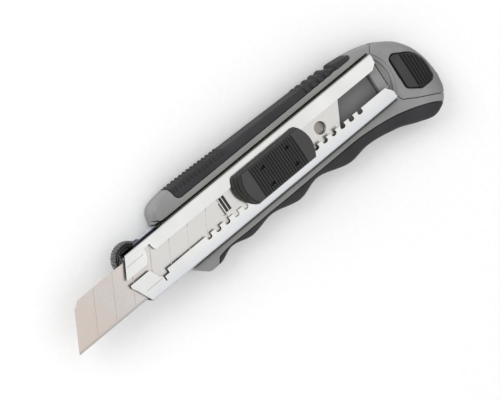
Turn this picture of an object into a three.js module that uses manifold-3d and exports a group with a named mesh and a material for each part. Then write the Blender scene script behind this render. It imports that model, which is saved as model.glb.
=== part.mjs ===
// A self-loading 18 mm snap-off utility knife, built as separate pieces.
// Millimetres. +X runs from the blade tip to the butt, +Y to the spine of the handle,
// +Z up to the slider. The origin is on the flat back of the handle, under the blade's middle line.

import * as THREE from 'three';
import { mergeVertices } from 'three/addons/utils/BufferGeometryUtils.js';
import Module from 'manifold-3d';

const wasm = await Module();
wasm.setup();

// ---- driving dimensions ----

const GAP = 0.3; // parting gap between pieces
const RUNNING_FIT = 0.08; // radial clearance of a shaft in its bore
const FAR = 60; // reach of a cutting tool past the body

const BLADE_WIDTH = 18;
const BLADE_LENGTH = 100; // tip corner to the far corner of the tang
const BLADE_THICKNESS = 0.5;
const BLADE_SLANT = BLADE_WIDTH / Math.tan(THREE.MathUtils.degToRad(60));
const BLADE_EDGE_BEVEL = 1.5;
const BLADE_HOLE_X = 84; // from the tip corner
const BLADE_HOLE_RADIUS = 2.8;
// The first segment's back corner, clipped and stepped: offsets from where it would be sharp.
const BLADE_CORNER = [[1.7, 0], [-0.2, -1.9], [-1.15, -2]];
const BLADE_TIP_X = -110;
const BLADE_Z = 16.1; // underside of the blade in use
const SPARE_TIP_X = -54.7;
const SPARE_PITCH_Z = 0.65;

const CHANNEL_Y = [-10.8, 11.2];
const CHANNEL_Z = [11.6, 18];
const CHANNEL_WALL = 0.8;
const CHANNEL_LIP = 0.7;
const CHANNEL_END_X = 65.2;
const LIP_Y = [-4.0, 5.2]; // inner edges of the two lips

const TOOTH_PITCH = 5;
const TOOTH_COUNT = 18;
const TOOTH_FIRST_X = -37.7;
const HOLLOW_DEPTH = 2;
const HOLLOW_HALF_WIDTH = 1.35;
const HOLLOW_CORNER = 0.85;
const HOLLOW_MOUTH = 1.15; // half the width where it opens
const LOCK_TOOTH_X = TOOTH_FIRST_X + 8 * TOOTH_PITCH;

const BODY_FRONT_X = -52;
const BODY_BACK_X = 89.4;
const BODY_HEIGHT = 14; // back face to the rim beside the channel
const SHELL_PARTING_Z = 6;
const GRIP_DEPTH = 2.2;

const CAP_PIN = [71, 8.5];
const CAP_PIN_RADIUS = 1.2;
const CAP_KNUCKLE_RADIUS = 4;
const CAP_LUG_Z = [6.3, 9.9];

const WHEEL_CENTRE = [-68.2, 6.9];
const WHEEL_RADIUS = 7.2;
const WHEEL_Z = [6.4, 10.9];
const WHEEL_KNURLS = 36;
const STUD_RADIUS = 1.5;
const SHOE_RADIUS = 2.8;

const SLIDER_Y = 0.5;
const BUTTON_SPRING_CENTRE = [79.5, -6.3];

// ---- materials ----

function material(color, roughness, metalness) {
  return new THREE.MeshStandardMaterial({ color, roughness, metalness });
}

const chrome = material(0xdfe1e3, 0.15, 1);
const bladeSteel = material(0xc9c4c0, 0.25, 1);
const springSteel = material(0x9a948c, 0.3, 1);
const zincSteel = material(0xb4b8bd, 0.35, 1);
const greyPlastic = material(0x8f8f8e, 0.5, 0);
const darkPlastic = material(0x4a4a4b, 0.55, 0);
const blackPlastic = material(0x242424, 0.5, 0);
const rubber = material(0x3a3a3b, 0.85, 0);

// ---- solids and booleans ----

function toSolid(geometry) {
  const bare = geometry.index ? geometry.clone() : geometry;
  bare.deleteAttribute('normal');
  bare.deleteAttribute('uv');
  const merged = mergeVertices(bare, 1e-4);
  return new wasm.Manifold(new wasm.Mesh({
    numProp: 3,
    vertProperties: merged.attributes.position.array,
    triVerts: new Uint32Array(merged.index.array),
  }));
}

function toGeometry(solid) {
  const mesh = solid.getMesh();
  const geometry = new THREE.BufferGeometry();
  geometry.setAttribute('position', new THREE.BufferAttribute(mesh.vertProperties, 3));
  geometry.setIndex(new THREE.BufferAttribute(mesh.triVerts, 1));
  const faceted = geometry.toNonIndexed();
  faceted.computeVertexNormals();
  return faceted;
}

// An outline in the XY plane raised from one height to another.
function prism(points, [low, high]) {
  const shape = new THREE.Shape(points.map(([x, y]) => new THREE.Vector2(x, y)));
  const geometry = new THREE.ExtrudeGeometry(shape, { depth: high - low, bevelEnabled: false });
  return toSolid(geometry.translate(0, 0, low));
}

function block([x0, x1], [y0, y1], [z0, z1]) {
  const geometry = new THREE.BoxGeometry(x1 - x0, y1 - y0, z1 - z0);
  return toSolid(geometry.translate((x0 + x1) / 2, (y0 + y1) / 2, (z0 + z1) / 2));
}

// An upright cylinder.
function disc([x, y], radius, [low, high], sides = 24) {
  const geometry = new THREE.CylinderGeometry(radius, radius, high - low, sides);
  geometry.rotateX(Math.PI / 2).translate(x, y, (low + high) / 2);
  return toSolid(geometry);
}

// Points of an arc, in degrees, both ends included.
function arc([x, y], radius, from, to, steps) {
  return Array.from({ length: steps + 1 }, (_, i) => {
    const angle = THREE.MathUtils.degToRad(from + ((to - from) * i) / steps);
    return [x + radius * Math.cos(angle), y + radius * Math.sin(angle)];
  });
}

function subtractAll(solid, cutters) {
  return cutters.reduce((body, cutter) => body.subtract(cutter), solid);
}

// ---- the handle's outer form ----

// A curve through points of rising x that doesn't overshoot between them.
function smoothThrough(points) {
  const slopes = points.map((_, i) => {
    if (i === 0 || i === points.length - 1) return 0;
    const [[x0, y0], [x1, y1], [x2, y2]] = points.slice(i - 1, i + 2);
    const before = (y1 - y0) / (x1 - x0);
    const after = (y2 - y1) / (x2 - x1);
    return before * after > 0 ? (2 * before * after) / (before + after) : 0;
  });
  return (x) => {
    const last = points.length - 2;
    const found = points.findIndex((_, k) => k < last && x < points[k + 1][0]);
    const i = found < 0 ? last : found;
    const [x0, y0] = points[i];
    const [x1, y1] = points[i + 1];
    const width = x1 - x0;
    const t = THREE.MathUtils.clamp((x - x0) / width, 0, 1);
    const rise = (3 - 2 * t) * t * t;
    const curl = t * (1 - t) * width * (slopes[i] * (1 - t) - slopes[i + 1] * t);
    return y0 + (y1 - y0) * rise + curl;
  };
}

const spineEdge = smoothThrough([
  [-52, 11.6], [-50.7, 15.4], [-48.4, 17.7], [-44.8, 18.8], [-36, 19.5], [-10, 18.7], [20, 17.8],
  [45, 16.9], [59, 15.5], [71, 12.7], [79.2, 8.3], [85, 1.6], [87.7, -4.5], [89, -10.6], [89.4, -15],
]);

// Three finger grooves, then the hooked butt.
const bellyEdge = smoothThrough([
  [-52, -9.6], [-49.2, -12.4], [-46.2, -16.2], [-43, -18.4], [-38.5, -18.8], [-29.5, -16.2],
  [-19.5, -18.3], [-8, -16.6], [6.8, -19.6], [17.5, -17.1], [35, -21.3], [44, -20.3],
  [60, -22.9], [70, -26.8], [78.2, -29.2], [83.3, -27.7], [86.7, -24.4], [88.7, -20.5], [89.4, -16],
]);

// Sections stand closer where the outline turns faster.
function bodyStations() {
  const front = [0, 0.5, 1.6, 3.4, 5.8, 9].map((step) => BODY_FRONT_X + step);
  const middle = Array.from({ length: 27 }, (_, i) => -39.5 + i * 4.4);
  const back = [6, 4, 2.4, 1.1, 0.35, 0].map((step) => BODY_BACK_X - step);
  const butt = [77.6, 81];
  return [...front, ...middle, ...butt, ...back];
}

// One rounded section of the handle, anticlockwise about +X.
function bodySection(x, inset) {
  const belly = bellyEdge(x) + inset;
  const spine = spineEdge(x) - inset;
  const fromEnd = Math.min(x - BODY_FRONT_X + 1, BODY_BACK_X - x + 0.6);
  const pull = Math.max(0, 1 - fromEnd / 7) ** 2 * 4.5;
  const low = inset + pull;
  const high = BODY_HEIGHT - inset - pull * 0.5;
  const width = Math.min(5, (spine - belly) / 2.1);
  const corners = [
    { y: spine - width, z: low + 5, height: 5, from: -90 },
    { y: spine - width, z: high - 4, height: 4, from: 0 },
    { y: belly + width, z: high - 4, height: 4, from: 90 },
    { y: belly + width, z: low + 5, height: 5, from: 180 },
  ];
  const steps = 4;
  return corners.flatMap(({ y, z, height, from }) =>
    Array.from({ length: steps + 1 }, (_, i) => {
      const angle = THREE.MathUtils.degToRad(from + (90 * i) / steps);
      return [x, y + width * Math.cos(angle), z + height * Math.sin(angle)];
    }));
}

// The handle's whole form, or the same form shrunk by an inset.
function bodyForm(inset = 0) {
  const rings = bodyStations().map((x) => bodySection(x, inset));
  const count = rings[0].length;
  const positions = rings.flat(2);
  const centres = [rings[0], rings.at(-1)].map((ring) =>
    [0, 1, 2].map((axis) => ring.reduce((sum, point) => sum + point[axis], 0) / count));
  positions.push(...centres.flat());
  const frontCentre = rings.length * count;
  const indices = [];
  for (let r = 0; r + 1 < rings.length; r += 1) {
    for (let k = 0; k < count; k += 1) {
      const a = r * count + k;
      const b = r * count + ((k + 1) % count);
      indices.push(a, b, a + count, b, b + count, a + count);
    }
  }
  const lastRing = (rings.length - 1) * count;
  for (let k = 0; k < count; k += 1) {
    const next = (k + 1) % count;
    indices.push(frontCentre, next, k);
    indices.push(frontCentre + 1, lastRing + k, lastRing + next);
  }
  const geometry = new THREE.BufferGeometry();
  geometry.setAttribute('position', new THREE.Float32BufferAttribute(positions, 3));
  geometry.setIndex(indices);
  return toSolid(geometry);
}

// ---- regions that divide the handle ----

// The swinging end cap: round its hinge pin, then down behind the channel, then along the
// seam that runs to the back of the butt. A gap pushes its edge into the neighbours.
function capRegion(gap) {
  const knuckle = arc(CAP_PIN, CAP_KNUCKLE_RADIUS + gap, 180, 72, 8);
  return [
    [66.4 - gap, 8.5], ...knuckle, [73, 24], [110, 24], [110, -34 - gap],
    [88.5, -24.2 - gap], [69.3, -14.4 - gap], [66.4 - gap, -11.2 - gap],
  ];
}

// The rubber on the finger side, bounded by the grey strip beside the channel.
function bellyGripRegion(gap) {
  const edge = [
    [-37.4, -15.6], [-34, -15], [0, -14.9], [39, -14.7], [50, -15.5], [59.4, -16.9],
    [67, -18.8], [73.6, -21], [79, -23.2], [83.4, -25.6], [88, -30],
  ].map(([x, y]) => [x, y + gap]);
  return [[-38.8 - gap, -FAR], [-38.6 - gap, -17.6], ...edge, [88, -FAR]];
}

// The rubber along the spine.
function spineGripRegion(gap) {
  return [
    [-39.4 - gap, FAR], [-38.6 - gap, 17.5], [-37.6 - gap, 15], [-36.4, 14 - gap],
    [57.8, 14 - gap], [59.3 + gap, 14.8], [57 + gap, FAR],
  ];
}

const THROUGH = [-FAR, FAR];
const body = bodyForm();
const bodyCore = bodyForm(GRIP_DEPTH);
const gripLimit = bodyForm(GRIP_DEPTH - GAP);

const channelPocket = block([-FAR, 66.1], [CHANNEL_Y[0] - GAP, CHANNEL_Y[1] + GAP],
  [CHANNEL_Z[0] - GAP, FAR]);

// The housings, with rubber pockets sunk where the grips lie.
function housing(zRange) {
  const slab = block([-FAR, 110], [-FAR, FAR], zRange);
  const bellyPocket = prism(bellyGripRegion(GAP), THROUGH).subtract(bodyCore);
  const spinePocket = prism(spineGripRegion(GAP), THROUGH).subtract(bodyCore);
  return subtractAll(body.intersect(slab), [
    bellyPocket, spinePocket, channelPocket, prism(capRegion(GAP), THROUGH),
  ]);
}

const SCREW_PLACES = [[-38, -6], [-38, 6], [54, -6], [54, 6]];
const RIVET_PLACES = [[-43, 0.2], [55, 0.2]];
const RIVET_RADIUS = 1.15;
const RIVET_HEAD_RADIUS = 2.2;
const SCREW_HEAD_RADIUS = 2.6;
const SCREW_SHANK_RADIUS = 1.2;
const SCREW_Z = [0.4, 2, 9.4]; // head face, seat, tip

// ---- housing pieces ----

function frontHousing() {
  const cavity = block([-34, 48], [-9, 9], [SHELL_PARTING_Z - 1, 8.8]);
  const noseSeat = block([-FAR, -47], [-9.4, 11.5], [6.6, FAR]);
  const screwHoles = SCREW_PLACES.map((place) =>
    disc(place, SCREW_SHANK_RADIUS + GAP, [0, SCREW_Z[2] + GAP], 12));
  const rivetHoles = RIVET_PLACES.map((place) => disc(place, RIVET_RADIUS + GAP, [8.5, 20], 12));
  const rivetBases = RIVET_PLACES.map((place) => disc(place, RIVET_HEAD_RADIUS + GAP, [0, 8.7 + GAP], 12));
  const lug = prism([
    ...arc(CAP_PIN, 3, -120, 90, 10), [67.4, 12], [65, 13], [65, 11.5], [67.6, 11],
  ], CAP_LUG_Z).subtract(disc(CAP_PIN, CAP_PIN_RADIUS + RUNNING_FIT, THROUGH, 16));
  return subtractAll(housing([SHELL_PARTING_Z + GAP / 2, 20]), [
    cavity, noseSeat, ...screwHoles, ...rivetHoles, ...rivetBases,
  ]).add(lug.intersect(body));
}

function backHousing() {
  const cavity = block([-34, 48], [-9, 9], [2.6, 20]);
  const screwHoles = SCREW_PLACES.flatMap((place) => [
    disc(place, SCREW_HEAD_RADIUS + GAP, [-1, SCREW_Z[1]], 16),
    disc(place, SCREW_SHANK_RADIUS + GAP, [0, 9], 12),
  ]);
  const rivetBases = RIVET_PLACES.map((place) => disc(place, RIVET_HEAD_RADIUS + GAP, [4, 9], 12));
  return subtractAll(housing([-1, SHELL_PARTING_Z - GAP / 2]), [
    cavity, ...screwHoles, ...rivetBases,
  ]);
}

function grip(region) {
  return prism(region(0), THROUGH).intersect(body)
    .subtract(gripLimit).subtract(channelPocket).subtract(prism(capRegion(GAP), THROUGH));
}

// ---- end cap and its latch ----

const CAP_BUTTON_Z = [10, 15.4];

function buttonOutline(gap) {
  return [
    ...arc([75.2, 1.9], 2.1 + gap, 180, 75, 4), ...arc([74.8, -8.9], 11.7 + gap, 66, -15, 9),
    ...arc([84, -13.2], 2.2 + gap, -10, -90, 3), ...arc([79.7, -13.2], 2.2 + gap, -90, -125, 2),
    ...arc([75.1, -10], 2.2 + gap, 235, 180, 3),
  ];
}

function endCap() {
  const ledge = disc([56, -0.3], 13.7, [12.6, 20], 64);
  const upperLedge = disc([56, -0.3], 15.2, [13.4, 20], 64);
  const buttonWell = prism(buttonOutline(GAP), [CAP_BUTTON_Z[0] - 2, 20]);
  const springWell = disc(BUTTON_SPRING_CENTRE, 2.8, [3.5, 10]);
  const knuckleSlot = disc(CAP_PIN, CAP_KNUCKLE_RADIUS + 0.4,
    [CAP_LUG_Z[0] - GAP, CAP_LUG_Z[1] + GAP], 32);
  const pinHole = disc(CAP_PIN, CAP_PIN_RADIUS + RUNNING_FIT, [1.7, 12.2], 16);
  return subtractAll(body.intersect(prism(capRegion(0), THROUGH)), [
    ledge, upperLedge, buttonWell, springWell, knuckleSlot, pinHole,
  ]);
}

// The block on the cap that closes the back of the channel over the magazine.
function endBlock() {
  return block([60.8, 66.1], [-5.8, 9.2], [12.7, 16]);
}

function latchButton() {
  const head = prism(buttonOutline(0), CAP_BUTTON_Z);
  const ribs = Array.from({ length: 6 }, (_, i) =>
    block([77.8 + i * 1.4, 78.4 + i * 1.4], [-20, 10], [14.8, 20]));
  const relief = block([74.2, 76.2], [-20, 10], [15, 20]);
  return subtractAll(head, [...ribs, relief]);
}

// A coil spring as one closed tube along its helix.
function coilSpring([x, y], radius, wire, [low, high], turns) {
  const steps = turns * 12;
  const points = Array.from({ length: steps + 1 }, (_, i) => {
    const angle = (i / 12) * 2 * Math.PI;
    const z = low + wire / 2 + ((high - low - wire) * i) / steps;
    return new THREE.Vector3(x + radius * Math.cos(angle), y + radius * Math.sin(angle), z);
  });
  const section = new THREE.Shape(arc([0, 0], wire / 2, 0, 300, 5)
    .map(([u, v]) => new THREE.Vector2(u, v)));
  return new THREE.ExtrudeGeometry(section, {
    steps,
    bevelEnabled: false,
    extrudePath: new THREE.CatmullRomCurve3(points),
  });
}

// ---- steel channel ----

// The edge of the toothed lip: a row of rounded hollows, a little narrower at the mouth.
function toothedEdge() {
  const inset = HOLLOW_HALF_WIDTH - HOLLOW_CORNER;
  const y = LIP_Y[0] - HOLLOW_DEPTH + HOLLOW_CORNER;
  return Array.from({ length: TOOTH_COUNT }, (_, i) => TOOTH_FIRST_X + i * TOOTH_PITCH).flatMap((x) => [
    [x - HOLLOW_MOUTH, LIP_Y[0]],
    ...arc([x - inset, y], HOLLOW_CORNER, 160, 270, 3),
    ...arc([x + inset, y], HOLLOW_CORNER, 270, 380, 3),
    [x + HOLLOW_MOUTH, LIP_Y[0]],
  ]);
}

// The opening between the lips, with the relief notches that free the two nose tabs.
function lipOpening() {
  const spineSide = [
    [CHANNEL_END_X + 9, LIP_Y[1]], [-59.6, LIP_Y[1]], [-60.4, 7.4], [-60.4, 8.6],
    [-63.6, 8.6], [-63.6, 7.1], [-64.5, 4.6], [-66, 2.6], [-90, 2.6],
  ];
  const bellySide = [
    [-90, 0.1], [-66.8, 0.1], [-64.6, -4.6], [-63.5, -5.4], [-63.3, -7.8], [-62.8, -7.8],
    [-62.7, -5.9], [-60.2, -5.9], [-60.2, LIP_Y[0]],
  ];
  return [...spineSide, ...bellySide, ...toothedEdge(), [CHANNEL_END_X + 9, LIP_Y[0]]];
}

function channel() {
  const nose = [
    [-71.8, CHANNEL_Y[1]], [-77, 2.7], [-76.9, -1.4], [-76, -2.8], [-72.3, CHANNEL_Y[0]],
  ];
  const tail = [
    [62.4, CHANNEL_Y[0]], [CHANNEL_END_X, CHANNEL_Y[0]], [CHANNEL_END_X, CHANNEL_Y[1]],
  ];
  const outer = prism([...nose, ...tail], CHANNEL_Z);
  const hollow = block([-90, 90], [CHANNEL_Y[0] + CHANNEL_WALL, CHANNEL_Y[1] - CHANNEL_WALL],
    [CHANNEL_Z[0] + CHANNEL_WALL, CHANNEL_Z[1] - CHANNEL_LIP]);
  const lipZone = [CHANNEL_Z[1] - CHANNEL_LIP - 0.2, 20];
  const tailCorners = [
    [[62.1, 5.1], [64.9, 7.2], [CHANNEL_END_X, 9.8], [70, 9.8], [70, 5.1]],
    [[62.5, -4.1], [64.7, -6.7], [CHANNEL_END_X, -8], [70, -8], [70, -4.1]],
  ].map((outline) => prism(outline, lipZone));
  const shoeHole = disc(WHEEL_CENTRE, SHOE_RADIUS + GAP, [10, 14], 24);
  const rivetHoles = RIVET_PLACES.map((place) => disc(place, RIVET_RADIUS + GAP, [10, 14], 12));
  return subtractAll(outer, [
    hollow, prism(lipOpening(), lipZone), ...tailCorners, shoeHole, ...rivetHoles,
  ]);
}

function rivet([x, y]) {
  const profile = [
    [0, 8.7], [RIVET_RADIUS, 8.7], [RIVET_RADIUS, 12.55], [RIVET_HEAD_RADIUS, 12.55],
    [RIVET_HEAD_RADIUS - 0.3, 12.9], [0, 12.95],
  ].map(([r, z]) => new THREE.Vector2(r, z));
  return new THREE.LatheGeometry(profile, 16).rotateX(Math.PI / 2).translate(x, y, 0);
}

// A countersunk screw driven from the back face.
function screw([x, y]) {
  const [face, seat, tip] = SCREW_Z;
  const profile = [
    [0, face + 0.5], [0.8, face + 0.5], [1.2, face], [SCREW_HEAD_RADIUS, face],
    [SCREW_HEAD_RADIUS, face + 0.3], [SCREW_SHANK_RADIUS, seat - 0.2],
    [SCREW_SHANK_RADIUS, tip - 1], [0.4, tip], [0, tip],
  ].map(([r, z]) => new THREE.Vector2(r, z));
  return new THREE.LatheGeometry(profile, 16).rotateX(Math.PI / 2).translate(x, y, 0);
}

// ---- blades and magazine ----

// A segmented blade: ground edge on the belly side, both ends cut at sixty degrees.
function blade(tipX, low) {
  const middle = low + BLADE_THICKNESS / 2;
  const half = BLADE_WIDTH / 2;
  const outline = [
    [tipX, -half], [tipX + BLADE_LENGTH - BLADE_SLANT, -half],
    [tipX + BLADE_LENGTH, half],
    ...BLADE_CORNER.map(([dx, dy]) => [tipX + BLADE_SLANT + dx, half + dy]),
  ];
  const sheet = prism(outline, [low, low + BLADE_THICKNESS]);
  const grinds = [-1, 1].map((side) => {
    const reach = 2 * BLADE_THICKNESS;
    const wedge = new THREE.Shape([
      new THREE.Vector2(-half - 0.5, middle + side * 0.02),
      new THREE.Vector2(-half + BLADE_EDGE_BEVEL, middle + (side * BLADE_THICKNESS) / 2),
      new THREE.Vector2(-half + BLADE_EDGE_BEVEL, middle + side * reach),
      new THREE.Vector2(-half - 0.5, middle + side * reach),
    ]);
    const bar = new THREE.ExtrudeGeometry(wedge, { depth: 2 * BLADE_LENGTH, bevelEnabled: false });
    // The profile's own axes become Y and Z, and its depth becomes X.
    bar.applyMatrix4(new THREE.Matrix4().makeBasis(
      new THREE.Vector3(0, 1, 0), new THREE.Vector3(0, 0, 1), new THREE.Vector3(1, 0, 0)));
    return toSolid(bar.translate(tipX - BLADE_LENGTH / 2, 0, 0));
  });
  const hole = disc([tipX + BLADE_HOLE_X, 0], BLADE_HOLE_RADIUS, THROUGH, 32);
  return subtractAll(sheet, [...grinds, hole]);
}

// The plate that presses the spare blades up from below.
function follower() {
  return prism([
    [-50, -9.3], [59.6, -9.3], [60.2, -8.6], [60.2, 9.2], [59.6, 9.9], [-48, 9.9], [-50, 8],
  ], [13.45, 13.95]);
}

// A bowed leaf spring under the follower.
function magazineSpring() {
  const crest = Array.from({ length: 13 }, (_, i) => {
    const along = i / 12;
    return [-36 + 84 * along, 12.55 + 0.5 * Math.sin(along * Math.PI) ** 2];
  });
  const outline = [...crest, ...crest.map(([x, z]) => [x, z + 0.25]).reverse()];
  const shape = new THREE.Shape(outline.map(([x, z]) => new THREE.Vector2(x, z)));
  const geometry = new THREE.ExtrudeGeometry(shape, { depth: 9, bevelEnabled: false });
  return geometry.rotateX(Math.PI / 2).translate(0, 4.7, 0);
}

// ---- carriage ----

const SLIDER_STEM = { x: [-12.5, 15.5], y: [-2.4, 4.8] };
const BACK_BOW = 2.4;
const CARRIER_SLOTS_X = [-24.95, -23.35];
const CARRIER_SLOT_WIDTH = 1.24;

// A flat bar with bowed ends, seen from above. Skew moves the front bow's crown to the spine side.
function sliderOutline(front, back, halfWidth, bow, skew = 0) {
  const shoulder = Array.from({ length: 9 }, (_, i) => -1 + i / 4);
  const frontArc = shoulder.map((t) => [front + bow * (t + skew) ** 2, SLIDER_Y - halfWidth * t]);
  const backArc = shoulder.map((t) => [back - BACK_BOW * t * t, SLIDER_Y + halfWidth * t]);
  return [...frontArc, ...backArc];
}

function bladeCarrier() {
  const plate = prism([[-26, -7], [17, -7], [17, 7.8], [-26, 7.8]], [16.75, 17.15]);
  const half = CARRIER_SLOT_WIDTH / 2;
  const slots = CARRIER_SLOTS_X.map((x) => block([x - half, x + half], [-2, 4.6], [16, 18]));
  const [front, back] = CARRIER_SLOTS_X;
  const catchTongue = block([front + half, back - half], [-0.6, 0.6], [16.2, 16.9]);
  return subtractAll(plate, slots).add(catchTongue);
}

function sliderBase() {
  const stem = block(SLIDER_STEM.x, SLIDER_STEM.y, [17.3, 18.5]);
  const flange = prism(sliderOutline(-18.9, 21.2, 7.7, 3.4, 0.24), [18.3, 20.1]);
  return stem.add(flange);
}

function sliderCap() {
  const lower = prism(sliderOutline(-16.8, 21, 7.4, 2.6, 0.12), [20.35, 21.6]);
  const upper = prism(sliderOutline(-15.3, 20.8, 7, 2.3), [21.5, 23]);
  const ribs = Array.from({ length: 19 }, (_, i) =>
    block([-9.6 + i * 1.28, -9.1 + i * 1.28], [-20, 20], [22.6, 24]));
  const windows = [-4, 9.5].flatMap((x) => [-3.6, 4.4].map((y) =>
    block([x - 1.15, x + 1.15], [y - 0.65, y + 0.65], [20.9, 24])));
  return subtractAll(lower.add(upper), [...ribs, ...windows]);
}

// The leaf that clicks into the teeth, at rest in one of the hollows.
function ratchetSpring() {
  const bump = arc([LOCK_TOOTH_X, -4.3], 0.85, 190, 350, 6);
  return prism([
    [-9.5, -3.3], [LOCK_TOOTH_X - 1.7, -3.3], [LOCK_TOOTH_X - 0.95, -3.75], ...bump,
    [LOCK_TOOTH_X + 0.95, -3.75], [LOCK_TOOTH_X + 1.7, -3.3], [12.5, -3.3],
    [12.5, -2.75], [-9.5, -2.75],
  ], [17.45, 17.95]);
}

// ---- blade clamp at the nose ----

function noseBracket() {
  const head = prism([[-60.6, -8.8], [-47.6, -8.8], [-47.6, 10.9], [-60.6, 10.9]], [7, 11.2]);
  const fork = prism([
    [-53.5, 1.6], [-53.5, 9.6], [-62, 10.6], ...arc(WHEEL_CENTRE, 4.4, 75, 285, 10), [-62, 1.6],
  ], [4.4, 5.9]);
  const heel = block([-60.3, -54], [2, 9.4], [4.4, 8]);
  const studHole = disc(WHEEL_CENTRE, STUD_RADIUS + RUNNING_FIT, THROUGH, 16);
  return head.add(fork).add(heel).subtract(studHole);
}

function clampWheel() {
  const rim = Array.from({ length: WHEEL_KNURLS * 2 }, (_, i) => {
    const radius = WHEEL_RADIUS - (i % 2 ? 0.35 : 0);
    const angle = (i / (WHEEL_KNURLS * 2)) * 2 * Math.PI;
    return [WHEEL_CENTRE[0] + radius * Math.cos(angle), WHEEL_CENTRE[1] + radius * Math.sin(angle)];
  });
  const faceGroove = disc(WHEEL_CENTRE, 6.3, [10.4, 12], 32).subtract(
    disc(WHEEL_CENTRE, 4.6, [10, 13], 32));
  return subtractAll(prism(rim, WHEEL_Z), [
    faceGroove, disc(WHEEL_CENTRE, STUD_RADIUS + RUNNING_FIT, THROUGH, 16),
  ]);
}

// The shoe rises on the stud's thread and grips the blade from below.
function clampShoe() {
  return disc(WHEEL_CENTRE, SHOE_RADIUS, [11.8, 15.8], 24).subtract(
    disc(WHEEL_CENTRE, STUD_RADIUS + RUNNING_FIT, [11, 15.1], 16));
}

// ---- scene graph ----

const group = new THREE.Group();

function addPiece(name, shape, look) {
  const geometry = shape.isBufferGeometry ? shape : toGeometry(shape);
  const mesh = new THREE.Mesh(geometry, look.clone());
  mesh.name = name;
  group.add(mesh);
}

addPiece('channel', channel(), chrome);
addPiece('front_housing', frontHousing(), greyPlastic);
addPiece('back_housing', backHousing(), greyPlastic);
addPiece('belly_grip', grip(bellyGripRegion), rubber);
addPiece('spine_grip', grip(spineGripRegion), rubber);

addPiece('end_cap', endCap(), greyPlastic);
addPiece('end_block', endBlock(), greyPlastic);
addPiece('cap_hinge_pin', disc(CAP_PIN, CAP_PIN_RADIUS, [2, 11.9], 16), zincSteel);
addPiece('latch_button', latchButton(), blackPlastic);
addPiece('latch_spring', coilSpring(BUTTON_SPRING_CENTRE, 2, 0.5, [3.8, 9.7], 5), springSteel);

addPiece('blade', blade(BLADE_TIP_X, BLADE_Z), bladeSteel);
for (let i = 1; i <= 3; i += 1) {
  addPiece(`spare_blade_${i}`, blade(SPARE_TIP_X, BLADE_Z - i * SPARE_PITCH_Z), bladeSteel);
}
addPiece('magazine_follower', follower(), darkPlastic);
addPiece('magazine_spring', magazineSpring(), springSteel);

addPiece('blade_carrier', bladeCarrier(), bladeSteel);
addPiece('slider_base', sliderBase(), blackPlastic);
addPiece('slider_cap', sliderCap(), blackPlastic);
addPiece('ratchet_spring', ratchetSpring(), springSteel);

addPiece('nose_bracket', noseBracket(), zincSteel);
addPiece('clamp_wheel', clampWheel(), blackPlastic);
addPiece('clamp_stud', disc(WHEEL_CENTRE, STUD_RADIUS, [4.2, 14.3], 16), zincSteel);
addPiece('clamp_shoe', clampShoe(), zincSteel);

RIVET_PLACES.forEach((place, i) => addPiece(`channel_rivet_${i + 1}`, rivet(place), zincSteel));
SCREW_PLACES.forEach((place, i) => addPiece(`housing_screw_${i + 1}`, screw(place), zincSteel));

export default group;
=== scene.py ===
"""A self-loading snap-off utility knife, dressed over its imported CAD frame.

Moulded pieces are shaped as rounded distance fields and turned into meshes; pressed and ground
steel pieces keep their CAD shape, with bends, creases, break lines and rounded edges cut into it.
Shapes are worked out in millimetres and stored in metres.
"""

import math

import bpy
import numpy as np
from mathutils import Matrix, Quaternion, Vector


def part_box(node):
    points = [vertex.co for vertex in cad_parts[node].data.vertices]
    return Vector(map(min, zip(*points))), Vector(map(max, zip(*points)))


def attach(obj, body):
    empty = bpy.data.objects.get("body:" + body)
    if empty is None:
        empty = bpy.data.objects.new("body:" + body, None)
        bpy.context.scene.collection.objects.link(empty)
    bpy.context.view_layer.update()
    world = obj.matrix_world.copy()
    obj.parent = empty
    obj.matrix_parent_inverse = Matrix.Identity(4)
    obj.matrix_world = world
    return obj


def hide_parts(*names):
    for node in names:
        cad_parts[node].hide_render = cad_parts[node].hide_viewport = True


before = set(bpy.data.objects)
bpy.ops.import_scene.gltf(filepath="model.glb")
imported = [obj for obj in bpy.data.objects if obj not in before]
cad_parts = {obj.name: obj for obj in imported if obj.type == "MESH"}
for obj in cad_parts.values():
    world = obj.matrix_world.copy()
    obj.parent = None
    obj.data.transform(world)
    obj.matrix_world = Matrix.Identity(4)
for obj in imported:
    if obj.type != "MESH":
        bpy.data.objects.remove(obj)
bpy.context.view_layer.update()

MM = 0.001


def box_mm(node):
    """Lowest and highest corner of a CAD node, in millimetres."""
    low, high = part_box(node)
    return np.array(low) / MM, np.array(high) / MM


# ---- sizes that the pieces share, in millimetres ----

CHANNEL_LOW, CHANNEL_HIGH = box_mm("channel")
BODY_LOW = np.minimum(box_mm("front_housing")[0], box_mm("back_housing")[0])
BODY_FRONT_X = BODY_LOW[0]
BODY_BACK_X = box_mm("end_cap")[1][0]
BODY_HEIGHT = box_mm("front_housing")[1][2]
PARTING_Z = 6.0
GAP = 0.3
GRIP_DEPTH = 2.2
REBATE_FLOOR = 12.4
CAP_PIN = (71.0, 8.5)
FACET_X = -49.0  # the top slopes down to the nose end from here
FLOOR_Z = -0.05  # clear of the flat back, so the two surfaces don't coincide
TOP_EDGE = 4.2  # how far in the top edge starts to round over
WHEEL_LOW, WHEEL_HIGH = box_mm("clamp_wheel")
WHEEL_CENTRE = (WHEEL_LOW + WHEEL_HIGH) / 2
SLIDER_Y = 0.5
BLADE_HOLE_X = 84  # from the tip corner
SEAM_GAP = 0.22  # the shells stop this far from the cap's outline
CHANNEL_STOP_X = 66.1  # the room for the channel ends here
WELD_DISTANCE = 1e-6
SETTLE_ROUNDS = 3

# ---- distance fields: negative inside, in millimetres ----


def grid(low, high, step):
    """Grid lines along X, Y and Z round a box, shaped so that they broadcast."""
    x, y, z = (np.arange(a - 2.5 * step, b + 3 * step, step) for a, b in zip(low, high))
    return x[:, None, None], y[None, :, None], z[None, None, :]


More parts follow.
